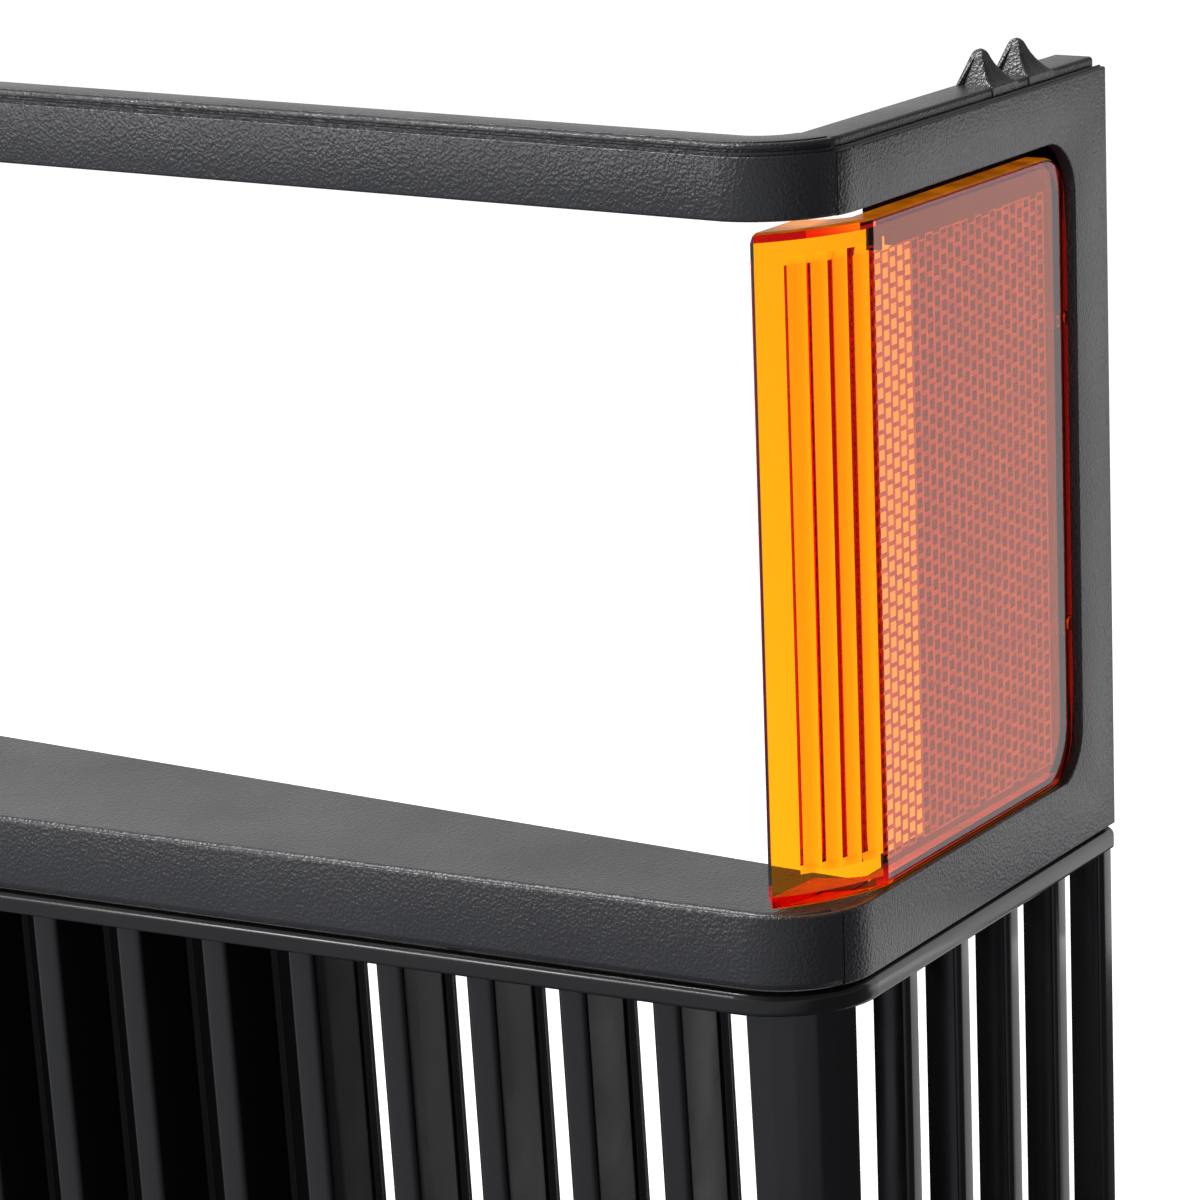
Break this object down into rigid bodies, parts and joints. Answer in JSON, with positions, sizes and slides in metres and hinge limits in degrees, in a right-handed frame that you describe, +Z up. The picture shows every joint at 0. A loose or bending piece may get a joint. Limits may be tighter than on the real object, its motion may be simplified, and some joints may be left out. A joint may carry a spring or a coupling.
{
  "type": "vehicle front grille",
  "caption": "Wide slatted front grille with a grained bezel round its rectangular headlamp openings and amber reflector lenses that wrap onto its sides.",
  "frame": {"origin": "on the floor under the middle of the assembly's bounding box", "axes": "+X to the vehicle's left-hand side as seen from the front, +Y from the front face to the back, +Z up"},
  "size_m": [1.236, 0.157, 0.4248],
  "materials": {
    "bezel_plastic": "fine moulded grain, satin charcoal",
    "grille_plastic": "smooth moulded, glossy black",
    "lens_amber": "clear amber acrylic, fluted in front and prismatic on the side",
    "screw_zinc": "zinc-plated hexagon-head tapping screws"
  },
  "bodies": {
    "root": {"top_bar": "bezel_plastic", "shelf_bar": "bezel_plastic", "mullion_right": "bezel_plastic", "mullion_left": "bezel_plastic", "side_frame_right": "bezel_plastic", "side_frame_left": "bezel_plastic", "centre_grille": "grille_plastic", "front_grille": "grille_plastic", "corner_post_right": "grille_plastic", "corner_post_left": "grille_plastic", "side_grille_right": "grille_plastic", "side_grille_left": "grille_plastic", "corner_lens_right": "lens_amber", "corner_lens_left": "lens_amber", "front_screw_1_right": "screw_zinc", "front_screw_1_left": "screw_zinc", "front_screw_2_right": "screw_zinc", "front_screw_2_left": "screw_zinc", "front_screw_3_right": "screw_zinc", "front_screw_3_left": "screw_zinc", "side_screw_1_right": "screw_zinc", "side_screw_1_left": "screw_zinc", "side_screw_2_right": "screw_zinc", "side_screw_2_left": "screw_zinc"}
  },
  "joints": []
}
